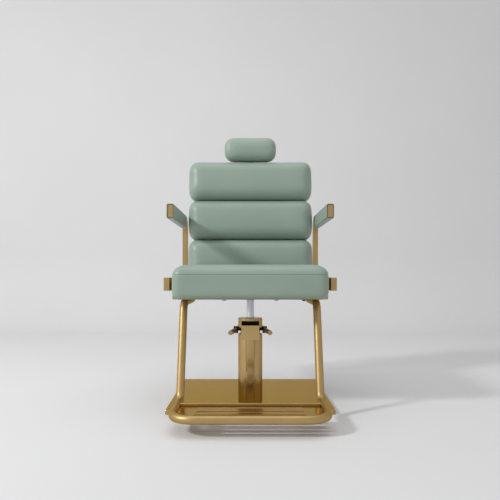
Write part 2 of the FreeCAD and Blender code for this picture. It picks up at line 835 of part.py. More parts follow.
def make_side_frames():
    outer = frame_profile(0)
    frame = outer.cut(frame_profile(-frame_tube_wall))
    half_width = frame_tube_width / 2 - frame_tube_wall
    half_height = frame_tube_height / 2 - frame_tube_wall
    inside = frame_side - half_width
    outside = frame_side + half_width
    arm_face = end_plate_recess - arm_front
    arm_plate = block(inside, outside, arm_face, arm_face + end_plate_thickness,
                      arm_height - half_height, arm_height + half_height)
    rail_plate = block(inside, outside, -rail_front, end_plate_thickness - rail_front,
                       rail_height - half_height, rail_height + half_height)
    save("side_frame_right", frame)
    save("side_frame_left", mirrored(frame))
    save("arm_end_plates", both_sides([arm_plate]))
    save("rail_end_plates", both_sides([rail_plate]))

    half = frame_tube_height / 2 + pad_wall
    pad = block(frame_inside - pad_wall, frame_outside + pad_wall, -arm_front, post_back + half,
                arm_height - half, arm_height + half)
    pad = round_edges(pad, frame_outer_radius + pad_wall,
                      lambda edge: lies_along(edge, X) and edge.CenterOfMass.y > post_back
                      and edge.CenterOfMass.z > arm_height)
    pad = round_edges(pad, pad_edge_round,
                      lambda edge: lies_along(edge, Y) or edge.CenterOfMass.y > post_back)
    pad = pad.cut(outer)
    save("arm_pad_right", pad)
    save("arm_pad_left", mirrored(pad))


def make_brackets():
    leg_inside = frame_inside - bracket_thickness
    foot_bottom = seat_underside - bracket_thickness
    tube_room = bar(foot_tube_radius, Vector(foot_tube_side, -foot_top_bend_front, foot_run_height),
                    Vector(foot_tube_side, foot_run_back, foot_run_height))
    brackets = []
    for place, reach in ((bracket_front_place, foot_tube_side), (bracket_back_place, lap_end)):
        near = place - bracket_width / 2
        far = place + bracket_width / 2
        leg = block(leg_inside, frame_inside, near, far, foot_bottom, rail_height + bracket_above_rail)
        foot = block(reach, frame_inside, near, far, foot_bottom, seat_underside)
        solid = leg.fuse(foot).removeSplitter()
        solid = round_edges(solid, bracket_thickness / 2,
                            lambda edge: lies_along(edge, Y) and edge.CenterOfMass.z < foot_bottom + run_gap
                            and edge.CenterOfMass.x > leg_inside)
        brackets.append(solid.cut(tube_room))
    bolts = []
    for place, thickness in under_board_bolts():
        brackets = [solid.cut(bolt_room(place, thickness)) for solid in brackets]
        bolts.append(hex_bolt(place - Z * thickness, Z, bracket_bolt_radius, thickness + bracket_bolt_grip,
                              bracket_bolt_head_radius, bracket_bolt_head_height))
    save("side_brackets", both_sides(brackets))
    save("under_seat_bolts", both_sides(bolts))

    lugs = []
    lug_end = foot_tube_side - lug_reach - bracket_bolt_head_radius / 2
    for place in lug_places:
        lug = block(lug_end, foot_tube_side, place - lug_width / 2, place + lug_width / 2,
                    seat_underside - lug_thickness, seat_underside)
        lug = round_edges(lug, bracket_bolt_head_radius,
                          lambda edge: lies_along(edge, Z) and edge.CenterOfMass.x < lug_end + run_gap)
        lug = lug.cut(tube_room)
        for bolt_place, thickness in under_board_bolts():
            lug = lug.cut(bolt_room(bolt_place, thickness))
        lugs.append(lug)
    save("footrest_lugs", both_sides(lugs))


def foot_path():
    side = [
        Vector(foot_tube_side, foot_run_back, foot_run_height),
        Vector(foot_tube_side, -foot_top_bend_front, foot_run_height),
        Vector(foot_tube_side, -foot_bottom_bend_front, foot_bar_height),
        Vector(foot_tube_side, -foot_bar_front, foot_bar_height),
    ]
    other = [Vector(-point.x, point.y, point.z) for point in reversed(side)]
    radii = [foot_top_bend_radius, foot_bottom_bend_radius, foot_corner_radius]
    return bent_path(side + other, radii + list(reversed(radii)))


def make_footrest():
    path = foot_path()
    solid_tube = pipe(path, foot_tube_radius)
    save("footrest_tube", solid_tube.cut(pipe(path, foot_tube_radius - foot_tube_wall)))
    plug_end = Vector(foot_tube_side, foot_run_back + foot_tube_wall, foot_run_height)
    plug = bar(foot_tube_radius - foot_tube_wall, plug_end - Y * (plug_depth + foot_tube_wall), plug_end)
    plug = plug.fuse(bar(foot_tube_radius, plug_end - Y * foot_tube_wall, plug_end))
    save("footrest_plugs", both_sides([plug.removeSplitter()]))

    sheet_bottom = tray_top - tray_thickness
    sheet = block(-tray_half_width, tray_half_width, -tray_front, -tray_back, sheet_bottom, tray_top)
    sheet = round_edges(sheet, tray_front_corner,
                        lambda edge: lies_along(edge, Z) and edge.CenterOfMass.y < -tray_front + run_gap)
    lip_top = tray_top + tray_lip_height
    side_front = -tray_front + tray_front_corner
    back_lip = block(-tray_half_width, tray_half_width, -tray_back - tray_thickness, -tray_back,
                     sheet_bottom, lip_top)
    side_lip = block(tray_half_width - tray_thickness, tray_half_width, side_front, -tray_back,
                     sheet_bottom, lip_top)
    tray = sheet.fuse([back_lip, side_lip, mirrored(side_lip)]).removeSplitter()
    for place in slot_places:
        slot = block(-slot_half_length, slot_half_length, -place - slot_width, -place,
                     sheet_bottom - cut_over, tray_top + cut_over)
        slot = round_edges(slot, slot_width * round_end_share, lambda edge: lies_along(edge, Z))
        tray = tray.cut(slot)
    notch = block(-slot_half_length, slot_half_length, -tray_front - cut_over, -slot_front_edge,
                  sheet_bottom - cut_over, tray_top + cut_over)
    tray = tray.cut(notch)
    tray = tray.cut(solid_tube)
    save("tread_tray", tray)

    bars = []
    for place in tray_bar_places:
        flat = block(-foot_tube_side, foot_tube_side,
                     -place - tray_bar_width / 2, -place + tray_bar_width / 2,
                     sheet_bottom - tray_bar_thickness, sheet_bottom)
        between = flat.cut(solid_tube).Solids
        bars.append(max(between, key=lambda solid: solid.Volume))
    save("tray_bars", bars)


def back_cushion(width, length, wall, depth, corner, foot, run, rise, crown, crown_run):
    """A cushion of the upright back: it stands on its rear plane and its crown faces -Y."""
    levels = cushion_levels(depth - wall, wall, foot - wall, 0, run - wall, rise - wall, crown, crown_run)
    solid = cushion(width - 2 * wall, length - 2 * wall, corner - wall, levels)
    solid.rotate(ORIGIN, X, 90)
    return solid


def roll_shape(index, wall):
    solid = back_cushion(roll_width, roll_pitch - roll_squeeze, wall, roll_depth, roll_corner_radius,
                         roll_foot_round, roll_dome_run, roll_dome_rise, roll_crown, roll_crown_run)
    solid.translate(Z * (roll_pitch * (index + 0.5)))
    return solid


def make_back():
    names = ("back_roll_bottom", "back_roll_middle", "back_roll_top")
    foams = []
    for index in range(roll_count):
        cover = roll_shape(index, 0)
        foam = roll_shape(index, cover_thickness)
        foams.append(leaned(foam))
        save(names[index], leaned(cover.cut(foam)))
    save("back_foam", foams)

    middle = rolls_height / 2
    board = block(-back_board_width / 2, back_board_width / 2, 0, back_board_thickness,
                  middle - back_board_height / 2, middle + back_board_height / 2)
    cover = rounded_plate(back_cover_width / 2, back_cover_height / 2, back_cover_corner,
                          0, back_cover_thickness)
    cover = round_edges(cover, back_cover_round,
                        lambda edge: edge.BoundBox.ZMin > back_cover_thickness - run_gap)
    cover.rotate(ORIGIN, X, -90)
    cover.translate(Z * middle)
    cover = cover.cut(board)
    screws = []
    for place in strap_bolt_places():
        seat_point = place + Y * (back_cover_thickness + hinge_plate_thickness)
        shank_end = seat_point - Y * strap_bolt_grip
        room = bar(strap_bolt_radius + hole_gap, shank_end, seat_point)
        board = board.cut(room)
        cover = cover.cut(room)
        head = bar(strap_bolt_head_radius, seat_point, seat_point + Y * strap_bolt_head_height)
        head = round_edges(head, strap_bolt_head_height / 2,
                           lambda edge: edge.BoundBox.YMin > seat_point.y + strap_bolt_head_height - run_gap)
        screws.append(leaned(head.fuse(bar(strap_bolt_radius, shank_end, seat_point)).removeSplitter()))
    save("back_board", leaned(board))
    save("back_rear_cover", leaned(cover))
    save("strap_screws", screws)


def strap_bolt_places():
    strap_middle = hinge_arm_side + hinge_plate_thickness - hinge_strap_width / 2
    places = []
    for side in (-1, 1):
        for index in range(strap_bolt_count):
            places.append(Vector(side * strap_middle, 0, strap_bolt_start + strap_bolt_pitch * index))
    return places


def make_hinges():
    pivot_y, pivot_z = upright_point(hinge_back, hinge_height)
    inside = hinge_arm_side
    outside = hinge_arm_side + hinge_plate_thickness
    strap_front = back_cover_thickness
    strap_back = back_cover_thickness + hinge_plate_thickness
    pivot_in = Vector(inside, pivot_y, pivot_z)
    pivot_out = Vector(outside, pivot_y, pivot_z)
    eye = bar(hinge_eye_radius, pivot_in, pivot_out)
    web = outline_yz(inside, [
        (pivot_y, pivot_z + hinge_eye_radius), (strap_front, -hinge_strap_drop),
        (strap_front, hinge_gusset_height), (strap_front + hinge_gusset_depth / 2, hinge_gusset_height),
        (strap_front + hinge_gusset_depth, -hinge_strap_drop), (pivot_y, pivot_z - hinge_eye_radius),
    ]).extrude(X * hinge_plate_thickness)
    strap = block(outside - hinge_strap_width, outside, strap_front, strap_back,
                  -hinge_strap_drop, hinge_strap_height)
    strap = round_edges(strap, hinge_strap_width * round_end_share,
                        lambda edge: lies_along(edge, Y) and edge.CenterOfMass.z > 0)
    arm = eye.fuse([web, strap]).removeSplitter()
    arm = arm.cut(bar(pin_radius + run_gap, pivot_in - X * cut_over, pivot_out + X * cut_over))
    for place in strap_bolt_places():
        if place.x > 0:
            arm = arm.cut(bar(strap_bolt_radius + hole_gap, place, place + Y * (strap_back + cut_over)))
    save("hinge_arms", both_sides([leaned(arm)]))

    near = hinge_bracket_side
    far = hinge_bracket_side + hinge_plate_thickness
    pivot_near = Vector(near, hinge_back, hinge_height)
    pivot_far = Vector(far, hinge_back, hinge_height)
    web_bottom = seat_underside - hinge_bracket_drop
    web = outline_yz(near, [
        (hinge_bracket_front, seat_underside), (hinge_bracket_front, web_bottom + hinge_bracket_drop / 2),
        (hinge_bracket_front + hinge_bracket_drop / 2, web_bottom), (hinge_back, web_bottom),
        (hinge_back + hinge_eye_radius, hinge_height), (hinge_back - hinge_eye_radius, hinge_height),
        (seat_back + hinge_plate_thickness, seat_underside),
    ]).extrude(X * hinge_plate_thickness)
    flange = block(far - hinge_bracket_flange, far,
                   hinge_bracket_front, seat_back - hinge_plate_thickness / 2,
                   seat_underside - hinge_plate_thickness, seat_underside)
    bracket = web.fuse([bar(hinge_eye_radius, pivot_near, pivot_far), flange]).removeSplitter()
    bracket = bracket.cut(bar(pin_radius, pivot_near - X * cut_over, pivot_far + X * cut_over))
    for place, thickness in under_board_bolts():
        bracket = bracket.cut(bolt_room(place, thickness))
    save("hinge_brackets", both_sides([bracket]))

    pin_start = Vector(inside - pin_head_thickness - hinge_play, hinge_back, hinge_height)
    head_end = Vector(inside - hinge_play, hinge_back, hinge_height)
    pin_end = Vector(far + hinge_play + recline_hub_length, hinge_back, hinge_height)
    pin = bar(pin_radius, pin_start, pin_end).fuse(bar(pin_head_radius, pin_start, head_end)).removeSplitter()
    cap_start = Vector(far, hinge_back, hinge_height)
    cap_end = cap_start + X * pin_head_thickness
    left_heads = [bar(pin_head_radius, pin_start, head_end), bar(pin_head_radius, cap_start, cap_end)]
    left_pin = bar(pin_radius, pin_start, cap_end).fuse(left_heads).removeSplitter()
    save("hinge_pins", [pin, mirrored(left_pin)])

    hub_start = Vector(far + hinge_play, hinge_back, hinge_height)
    hub_end = hub_start + X * recline_hub_length
    lever_x = hub_start.x + recline_hub_length / 2
    corner = Vector(lever_x, hinge_back, hinge_height - recline_lever_drop)
    tip = corner - Y * recline_lever_forward
    top = Vector(lever_x, hinge_back, hinge_height)
    arm_path = bent_path([top, corner, tip], [recline_bend_radius])
    lever = bar(recline_hub_radius, hub_start, hub_end).fuse(pipe(arm_path, recline_lever_radius))
    lever = lever.cut(bar(pin_radius + run_gap, hub_start - X * cut_over, hub_end + X * cut_over))
    save("recline_lever", lever.removeSplitter())
    grip_start = tip + Y * recline_grip_length
    nose = tip - Y * recline_grip_radius
    grip = bar(recline_grip_radius, nose, grip_start)
    grip = round_edges(grip, recline_grip_round, lambda edge: True)
    grip = grip.cut(bar(recline_lever_radius, tip, grip_start + Y * cut_over))
    save("recline_grip", grip)


def make_headrest():
    sizes = (headrest_depth, headrest_corner_radius, headrest_foot_round,
             headrest_dome_run, headrest_dome_rise, headrest_crown, headrest_crown_run)
    place = Vector(0, headrest_rear, headrest_middle)
    outer = back_cushion(headrest_width, headrest_height, 0, *sizes)
    foam = back_cushion(headrest_width, headrest_height, cover_thickness, *sizes)
    outer.translate(place)
    foam.translate(place)
    plate_rear = headrest_rear + headrest_plate_thickness
    plate = block(-headrest_plate_width / 2, headrest_plate_width / 2, headrest_rear, plate_rear,
                  headrest_middle - headrest_plate_height / 2, headrest_middle + headrest_plate_height / 2)
    plate = round_edges(plate, headrest_plate_height / 4, lambda edge: lies_along(edge, Y))
    save("headrest_cushion", leaned(outer.cut(foam)))
    save("headrest_foam", leaned(foam))
    save("headrest_plate", leaned(plate))

    half = bar_thickness / 2
    top = headrest_middle + half
    bottom = guide_top - guide_height - headrest_travel - bar_spare_length
    middle_y = bar_front_face + half
    profile = outline_yz(-bar_half_width, [
        (plate_rear, top), (bar_rear_face, top), (bar_rear_face, bottom), (bar_front_face, bottom),
        (bar_front_face, top - bar_thickness), (plate_rear, top - bar_thickness),
    ]).extrude(X * (2 * bar_half_width))
    strip = round_edges(profile, bar_bend_radius,
                        lambda edge: lies_along(edge, X) and edge.CenterOfMass.y > middle_y
                        and edge.CenterOfMass.z > headrest_middle)
    strip = round_edges(strip, bar_bend_radius - bar_thickness,
                        lambda edge: lies_along(edge, X) and edge.CenterOfMass.z > bottom + bar_thickness
                        and abs(edge.CenterOfMass.y - bar_front_face) < run_gap)
    save("headrest_bar", leaned(strip))

    guide = block(-guide_half_width, guide_half_width, back_cover_thickness, guide_rear,
                  guide_top - guide_height, guide_top)
    guide = round_edges(guide, guide_edge_round,
                        lambda edge: edge.CenterOfMass.y > guide_rear - run_gap or lies_along(edge, Y))
    channel = block(-bar_half_width - side_gap, bar_half_width + side_gap, bar_front_face - side_gap,
                    bar_rear_face + side_gap, guide_top - guide_height - cut_over, guide_top + cut_over)
    screw_tip = Vector(0, bar_rear_face + side_gap + hole_gap, guide_middle)
    screw_end = Vector(0, guide_rear + knob_gap, guide_middle)
    guide = guide.cut(channel).cut(bar(knob_screw_radius + run_gap, screw_tip - Y * side_gap, screw_end))
    save("headrest_guide", leaned(guide))

    knob_end = screw_end + Y * knob_length
    knob = bar(knob_radius - knob_lobe_radius / 2, screw_end, knob_end)
    lobe_circle = knob_radius - knob_lobe_radius
    for index in range(knob_lobe_count):
        turn = math.radians(360 * index / knob_lobe_count)
        shift = Vector(lobe_circle * math.cos(turn), 0, lobe_circle * math.sin(turn))
        knob = knob.fuse(bar(knob_lobe_radius, screw_end + shift, knob_end + shift))
    knob = knob.fuse(bar(knob_screw_radius, screw_tip, screw_end)).removeSplitter()
    save("headrest_knob", leaned(knob))


os.makedirs("parts", exist_ok=True)
make_base()
make_column()
make_hydraulics()
make_lift()
make_pump_lever()
make_seat()
make_side_frames()
make_brackets()
make_footrest()
make_back()
make_hinges()
make_headrest()
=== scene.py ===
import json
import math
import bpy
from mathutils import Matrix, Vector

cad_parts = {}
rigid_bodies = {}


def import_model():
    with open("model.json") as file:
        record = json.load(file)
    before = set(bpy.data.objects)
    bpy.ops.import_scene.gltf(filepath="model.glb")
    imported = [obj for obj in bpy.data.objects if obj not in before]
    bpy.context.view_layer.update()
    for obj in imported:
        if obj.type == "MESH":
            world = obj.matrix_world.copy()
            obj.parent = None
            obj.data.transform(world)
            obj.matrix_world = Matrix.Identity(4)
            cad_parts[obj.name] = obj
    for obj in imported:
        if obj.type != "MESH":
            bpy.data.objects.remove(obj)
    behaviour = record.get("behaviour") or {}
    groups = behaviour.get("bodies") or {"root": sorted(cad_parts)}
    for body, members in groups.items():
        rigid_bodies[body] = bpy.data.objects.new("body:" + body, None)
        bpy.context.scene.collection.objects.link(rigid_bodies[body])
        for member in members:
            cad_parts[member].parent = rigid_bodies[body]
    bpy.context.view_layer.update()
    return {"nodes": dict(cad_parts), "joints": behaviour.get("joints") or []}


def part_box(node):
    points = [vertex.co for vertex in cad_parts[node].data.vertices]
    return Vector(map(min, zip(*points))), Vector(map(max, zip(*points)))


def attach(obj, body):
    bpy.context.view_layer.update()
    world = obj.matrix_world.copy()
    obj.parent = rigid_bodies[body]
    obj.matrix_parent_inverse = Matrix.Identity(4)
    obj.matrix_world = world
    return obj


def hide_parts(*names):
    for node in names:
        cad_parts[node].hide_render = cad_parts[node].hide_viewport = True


bl_info = {
    "name": "Threading Chair",
    "version": (1, 0, 0),
    "blender": (4, 5, 0),
    "location": "View3D > Sidebar > Chair",
    "description": "Upholsters and finishes the frame of a hydraulic threading chair "
                   "and sets up its studio",
    "category": "Add Mesh",
}

import bpy
from bpy.props import FloatProperty, FloatVectorProperty, PointerProperty
from mathutils import Matrix, Vector

# The start-up file's own cube, lamp and camera go first, so that only the chair is measured.
for leftover in list(bpy.data.objects):
    bpy.data.objects.remove(leftover)

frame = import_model()
nodes = frame["nodes"]

# Two places closer than this are the same place.
touch = 0.00005


def hex_colour(code):
    """An sRGB hex value as a linear colour with full alpha."""
    channels = []
    for start in (0, 2, 4):
        value = int(code[start:start + 2], 16) / 255
        channels.append(value / 12.92 if value <= 0.04045 else ((value + 0.055) / 1.055) ** 2.4)
    return (*channels, 1.0)


# Sizes and colours that a user would change

class ChairUpholstery(bpy.types.PropertyGroup):
    voxel: FloatProperty(
        name="Voxel", description="Mesh size of a cushion before its foam swells it",
        default=0.0055, unit="LENGTH")
    swell: FloatProperty(
        name="Swell",
        description="The most that the foam pushes the leather out from its sewn shape",
        default=0.0015, unit="LENGTH")
    seam_width: FloatProperty(
        name="Seam width", description="Width of the groove that a seam pulls into the leather",
        default=0.005, unit="LENGTH")
    seam_depth: FloatProperty(
        name="Seam depth", description="Depth of that groove",
        default=0.0024, unit="LENGTH")
    seat_seam_height: FloatProperty(
        name="Seat seam height",
        description="Height of the seam between the seat's top and its side band",
        default=0.4900, unit="LENGTH")
    roll_bulge: FloatProperty(
        name="Roll bulge",
        description="How far each end of a back roll bulges past its foam",
        default=0.003, unit="LENGTH")
    headrest_gap: FloatProperty(
        name="Headrest gap",
        description="How far the headrest's top stays below its foam's mould",
        default=0.005, unit="LENGTH")
    cover_inset: FloatProperty(
        name="Rear cover inset",
        description="How far the rear cover's sides stand back from its board's pocket",
        default=0.011, unit="LENGTH")
    arm_leather: FloatProperty(
        name="Arm leather", description="Thickness of the leather sleeve round an arm",
        default=0.0024, unit="LENGTH")
    bare_bend: FloatProperty(
        name="Bare bend", description="How much of an arm's rear bend the leather leaves bare",
        default=0.084, unit="LENGTH")


class ChairColours(bpy.types.PropertyGroup):
    leather: FloatVectorProperty(
        name="Leather", description="Dyed top-grain leather",
        subtype="COLOR", size=4, min=0, max=1, default=hex_colour("93A498"))
    gold: FloatVectorProperty(
        name="Gold", description="Gold coating on the steel",
        subtype="COLOR", size=4, min=0, max=1, default=hex_colour("C3A672"))
    backdrop: FloatVectorProperty(
        name="Backdrop", description="Studio floor and wall",
        subtype="COLOR", size=4, min=0, max=1, default=hex_colour("E4E4E5"))


# Materials

finishes = {}


def add_node(tree, kind, inputs=None, **settings):
    """Adds a shader node, sets its properties, and sets or links its sockets."""
    node = tree.nodes.new(kind)
    for name, value in settings.items():
        setattr(node, name, value)
    for name, value in (inputs or {}).items():
        if isinstance(value, bpy.types.NodeSocket):
            tree.links.new(value, node.inputs[name])
        else:
            node.inputs[name].default_value = value
    return node


def new_finish(name):
    """A material with an empty tree, and the place on the piece that its patterns read."""
    material = bpy.data.materials.new(name)
    material.use_nodes = True
    tree = material.node_tree
    tree.nodes.clear()
    finishes[name] = material
    return tree, add_node(tree, "ShaderNodeTexCoord").outputs["Object"]


def surface_of(tree, inputs):
    """The material's shader, joined to its output."""
    shader = add_node(tree, "ShaderNodeBsdfPrincipled", inputs)
    add_node(tree, "ShaderNodeOutputMaterial", {"Surface": shader.outputs["BSDF"]})


def shade(colour, amount):
    """The same colour, lighter or darker by a share."""
    return (*(min(1.0, channel * amount) for channel in colour[:3]), 1.0)


def paler(colour, share):
    """The same colour, mixed with a share of white."""
    return (*(channel + (1 - channel) * share for channel in colour[:3]), 1.0)


def tinted(tree, factor, dark, light, low=0.35, high=0.65):
    """A colour that runs from dark to light as a noise runs from low to high."""
    blend = add_node(tree, "ShaderNodeValToRGB", {"Fac": factor})
    for stop, place, colour in zip(blend.color_ramp.elements, (low, high), (dark, light)):
        stop.position = place
        stop.color = colour
    return blend.outputs["Color"]


def spread(tree, factor, least, most, low=0.3, high=0.7):
    """A roughness that runs from least to most as a noise runs from low to high."""
    between = {"Value": factor, "From Min": low, "From Max": high, "To Min": least, "To Max": most}
    return add_node(tree, "ShaderNodeMapRange", between).outputs["Result"]


def make_leather(colour):
    """Dyed top-grain leather, buffed and sealed: even colour, fine pebbled grain, low gloss."""
    tree, place = new_finish("sage_leather")
    # The dye drifts over about 250 mm of hide and mottles over about 25 mm.
    drift_size = 0.25
    mottle_size = 0.025
    # Real pebbles are about 1 mm across; they are drawn at 2.5 mm so that they still show.
    pebble_size = 0.0025
    pebble_depth = 0.0005
    # Soft creases lie about 42 mm apart.
    crease_size = 0.0417
    crease_depth = 0.003
    drift = add_node(tree, "ShaderNodeTexNoise",
                     {"Vector": place, "Scale": 1 / drift_size, "Detail": 2.0})
    mottle = add_node(tree, "ShaderNodeTexNoise",
                      {"Vector": place, "Scale": 1 / mottle_size, "Detail": 3.0})
    pebble = add_node(tree, "ShaderNodeTexVoronoi", {"Vector": place, "Scale": 1 / pebble_size},
                      feature="SMOOTH_F1")
    crease = add_node(tree, "ShaderNodeTexNoise",
                      {"Vector": place, "Scale": 1 / crease_size, "Detail": 4.0, "Distortion": 0.4})
    grain = add_node(tree, "ShaderNodeBump",
                     {"Height": pebble.outputs["Distance"], "Strength": 0.12,
                      "Distance": pebble_depth})
    soft = add_node(tree, "ShaderNodeBump",
                    {"Height": crease.outputs["Fac"], "Strength": 0.06, "Distance": crease_depth,
                     "Normal": grain.outputs["Normal"]})
    surface_of(tree, {
        "Base Color": tinted(tree, drift.outputs["Fac"], shade(colour, 0.97), shade(colour, 1.03)),
        "Roughness": spread(tree, mottle.outputs["Fac"], 0.38, 0.46),
        "IOR": 1.48, "Normal": soft.outputs["Normal"]})


def make_gold(name, colour, lines_run, roughness, line_depth):
    """Gold-coated stainless steel: its polishing lines streak the gloss along lines_run, X or Z."""
    tree, place = new_finish(name)
    # Polishing lines are about 0.2 mm wide; they are drawn at 1.5 mm so that they still show.
    lines_per_metre = 650.0
    # Along their run they fade and begin again every 17 mm on sheet and every 25 mm on tube.
    along = {"X": (60.0, lines_per_metre, lines_per_metre),
             "Z": (lines_per_metre, lines_per_metre, 40.0)}
    # Handling dulls the coating in patches of about 60 mm.
    haze_size = 0.0625
    run = add_node(tree, "ShaderNodeMapping", {"Vector": place, "Scale": along[lines_run]})
    lines = add_node(tree, "ShaderNodeTexNoise",
                     {"Vector": run.outputs["Vector"], "Scale": 1.0, "Detail": 3.0})
    haze = add_node(tree, "ShaderNodeTexNoise",
                    {"Vector": place, "Scale": 1 / haze_size, "Detail": 3.0})
    bump = add_node(tree, "ShaderNodeBump",
                    {"Height": lines.outputs["Fac"], "Strength": 0.05, "Distance": line_depth})
    surface_of(tree, {
        "Base Color": tinted(tree, haze.outputs["Fac"], shade(colour, 0.95), shade(colour, 1.03)),
        "Metallic": 1.0,
        "Roughness": spread(tree, lines.outputs["Fac"], roughness * 0.85, roughness * 1.2),
        "Specular Tint": hex_colour("D9C69E"), "Normal": bump.outputs["Normal"]})


def make_metal(name, colour, roughness, grit, stain):
    """Bare or plated metal, finely ground, duller in patches that a share called stain darkens."""
    tree, place = new_finish(name)
    grind_depth = 0.0002
    # Patches are about 40 mm across.
    patch_size = 0.04
    ground = add_node(tree, "ShaderNodeTexNoise",
                      {"Vector": place, "Scale": 1 / grit, "Detail": 3.0})
    patches = add_node(tree, "ShaderNodeTexNoise",
                       {"Vector": place, "Scale": 1 / patch_size, "Detail": 4.0})
    bump = add_node(tree, "ShaderNodeBump",
                    {"Height": ground.outputs["Fac"], "Strength": 0.06, "Distance": grind_depth})
    surface_of(tree, {
        "Base Color": tinted(tree, patches.outputs["Fac"], shade(colour, 1 - stain), colour),
        "Metallic": 1.0,
        "Roughness": spread(tree, patches.outputs["Fac"], roughness * 0.8, roughness * 1.3),
        "Normal": bump.outputs["Normal"]})


def make_coat(name, colour, roughness, grain, depth, index):
    """Paint, moulded plastic, rubber or foam: one colour with the texture of its mould or spray."""
    tree, place = new_finish(name)
    # Dust and handling lighten it in patches of about 33 mm.
    dust_size = 1 / 30
    skin = add_node(tree, "ShaderNodeTexNoise",
                    {"Vector": place, "Scale": 1 / grain, "Detail": 2.0})
    dust = add_node(tree, "ShaderNodeTexNoise",
                    {"Vector": place, "Scale": 1 / dust_size, "Detail": 3.0})
    bump = add_node(tree, "ShaderNodeBump",
                    {"Height": skin.outputs["Fac"], "Strength": 0.2, "Distance": depth})
    surface_of(tree, {
        "Base Color": tinted(tree, dust.outputs["Fac"], colour, shade(colour, 1.25)),
        "Roughness": spread(tree, dust.outputs["Fac"], roughness * 0.9, roughness * 1.15),
        "IOR": index, "Normal": bump.outputs["Normal"]})


def make_plywood():
    """Birch plywood, sanded: pale wood whose long grain runs across the chair."""
    tree, place = new_finish("birch_plywood")
    # The figure is about 10 mm wide and 80 mm long.
    figure_width = 1 / 95
    figure_length = 1 / 12
    grain_depth = 0.0004
    run = add_node(tree, "ShaderNodeMapping",
                   {"Vector": place,
                    "Scale": (1 / figure_length, 1 / figure_width, 1 / figure_width)})
    figure = add_node(tree, "ShaderNodeTexNoise",
                      {"Vector": run.outputs["Vector"], "Scale": 1.0, "Detail": 5.0,
                       "Distortion": 0.6})
    bump = add_node(tree, "ShaderNodeBump",
                    {"Height": figure.outputs["Fac"], "Strength": 0.2, "Distance": grain_depth})
    surface_of(tree, {
        "Base Color": tinted(tree, figure.outputs["Fac"],
                             hex_colour("9C7A50"), hex_colour("C9A878")),
        "Roughness": 0.62, "Normal": bump.outputs["Normal"]})


def make_finishes(colours):
    gold = tuple(colours.gold)
    make_leather(tuple(colours.leather))
    # Sheet is polished to a mirror, the tread brushed, the frame and tubes left satin.
    make_gold("mirror_gold_plate", gold, "X", roughness=0.12, line_depth=0.0001)
    # The tubes' gold is darkened by a share as painted shade, not a different coating.
    make_gold("satin_gold_tube", shade(gold, 0.94), "Z", roughness=0.48, line_depth=0.0001)
    # The column's gold is darkened by a share as painted shade, against the brighter mirror cover.
    make_gold("polished_gold_column", shade(gold, 0.90), "Z", roughness=0.15, line_depth=0.0001)
    # The tread's gold is paled with white as painted light.
    make_gold("brushed_gold_tread", paler(gold, 0.06), "X", roughness=0.18, line_depth=0.0002)
    # The frame's gold is lightened by a share as painted light.
    make_gold("brushed_gold_frame", shade(gold, 1.05), "Z", roughness=0.38, line_depth=0.0001)
    make_metal("hard_chrome", hex_colour("DADDE1"), roughness=0.08, grit=0.0015, stain=0.04)
    make_metal("zinc_plated_steel", hex_colour("B9BBBE"), roughness=0.30, grit=0.0012, stain=0.15)
    make_metal("sintered_bronze", hex_colour("A9793D"), roughness=0.38, grit=0.0015, stain=0.20)
    make_metal("machined_iron", hex_colour("2A221D"), roughness=0.45, grit=0.0020, stain=0.30)
    make_coat("black_enamel", hex_colour("17181A"),
              roughness=0.42, grain=0.0012, depth=0.0002, index=1.50)
    make_coat("moulded_rubber", hex_colour("1B1B1C"),
              roughness=0.75, grain=0.0008, depth=0.0003, index=1.52)
    make_coat("moulded_nylon", hex_colour("1E1F20"),
              roughness=0.50, grain=0.0010, depth=0.0003, index=1.53)
    make_coat("polyurethane_foam", hex_colour("D9D3BE"),
              roughness=0.95, grain=0.0020, depth=0.0010, index=1.45)
    make_plywood()


node_finishes = {
    "mirror_gold_plate": ("base_plate", "pump_front_cover"),
    "brushed_gold_tread": ("tread_tray", "tray_bars"),
    "brushed_gold_frame": ("side_frame_left", "side_frame_right", "side_brackets", "hinge_arms",
                           "hinge_brackets"),
    "satin_gold_tube": ("arm_end_plates", "rail_end_plates", "footrest_tube", "footrest_lugs",
                        "lever_tube", "lever_end_plugs", "recline_lever"),
    "polished_gold_column": ("column_sleeve", "column_cap"),
    "hard_chrome": ("lift_rod", "headrest_bar"),
    "zinc_plated_steel": ("column_bolts", "mounting_bolts", "under_seat_bolts", "hinge_pins",
                          "strap_screws", "lever_shaft", "pump_rocker", "pump_plunger",
                          "plunger_spring", "rod_piston"),
    "sintered_bronze": ("rod_guide_bush", "thrust_bearing"),
    "machined_iron": ("pump_head",),
    "black_enamel": ("mounting_plate", "swivel_hub", "headrest_plate", "lever_blocks",
                     "pump_cylinder"),
    "moulded_rubber": ("floor_pads", "rod_wiper", "lever_pedal_rubber", "piston_seal"),
    "moulded_nylon": ("headrest_guide", "headrest_knob", "recline_grip", "footrest_plugs"),
    "polyurethane_foam": ("seat_foam", "back_foam", "headrest_foam"),
    "birch_plywood": ("seat_board", "back_board"),
    "sage_leather": ("seat_cushion", "back_roll_bottom", "back_roll_middle", "back_roll_top",
                     "back_rear_cover", "headrest_cushion", "arm_pad_left", "arm_pad_right"),
}


def give_finish(piece, name):
    piece.data.materials.clear()
    piece.data.materials.append(finishes[name])


# Modelling by hand, step by step

def select_only(piece):
    bpy.ops.object.select_all(action="DESELECT")
    piece.select_set(True)
    bpy.context.view_layer.objects.active = piece


def add_block(name, low, high):
    """A block between two corners, with its place in its mesh."""
    bpy.ops.object.select_all(action="DESELECT")
    bpy.ops.mesh.primitive_cube_add(size=1, location=(low + high) / 2, scale=high - low)
    block = bpy.context.object
    block.name = name
    bpy.ops.object.transform_apply(location=True, rotation=True, scale=True)
    return block


